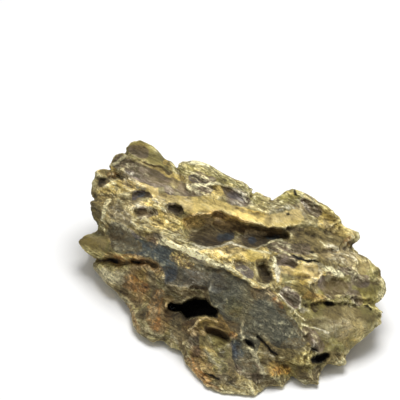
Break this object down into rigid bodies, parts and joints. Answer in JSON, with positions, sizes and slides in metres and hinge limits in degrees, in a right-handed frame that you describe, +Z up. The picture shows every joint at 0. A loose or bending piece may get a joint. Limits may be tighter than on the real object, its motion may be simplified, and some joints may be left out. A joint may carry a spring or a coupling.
{
  "type": "dragon stone",
  "caption": "Loose angular piece of layered, pitted dragon stone (Ohko clay rock) with ledges, hollows and a small cave, lying on a flat patch of its underside.",
  "frame": {"origin": "on the floor, below the middle of the stone's bounding box", "axes": "+Z up; +X along the bedding, which is the stone's length; -Y faces the steep slate side with the small cave"},
  "size_m": [0.2166, 0.1417, 0.0761],
  "materials": {
    "stone": "dry matt clay stone, ochre and olive on the worn ridges, slate grey-brown on the smooth broken faces, rusty brown in the cracks"
  },
  "bodies": {
    "root": {"stone": "stone"}
  },
  "joints": []
}
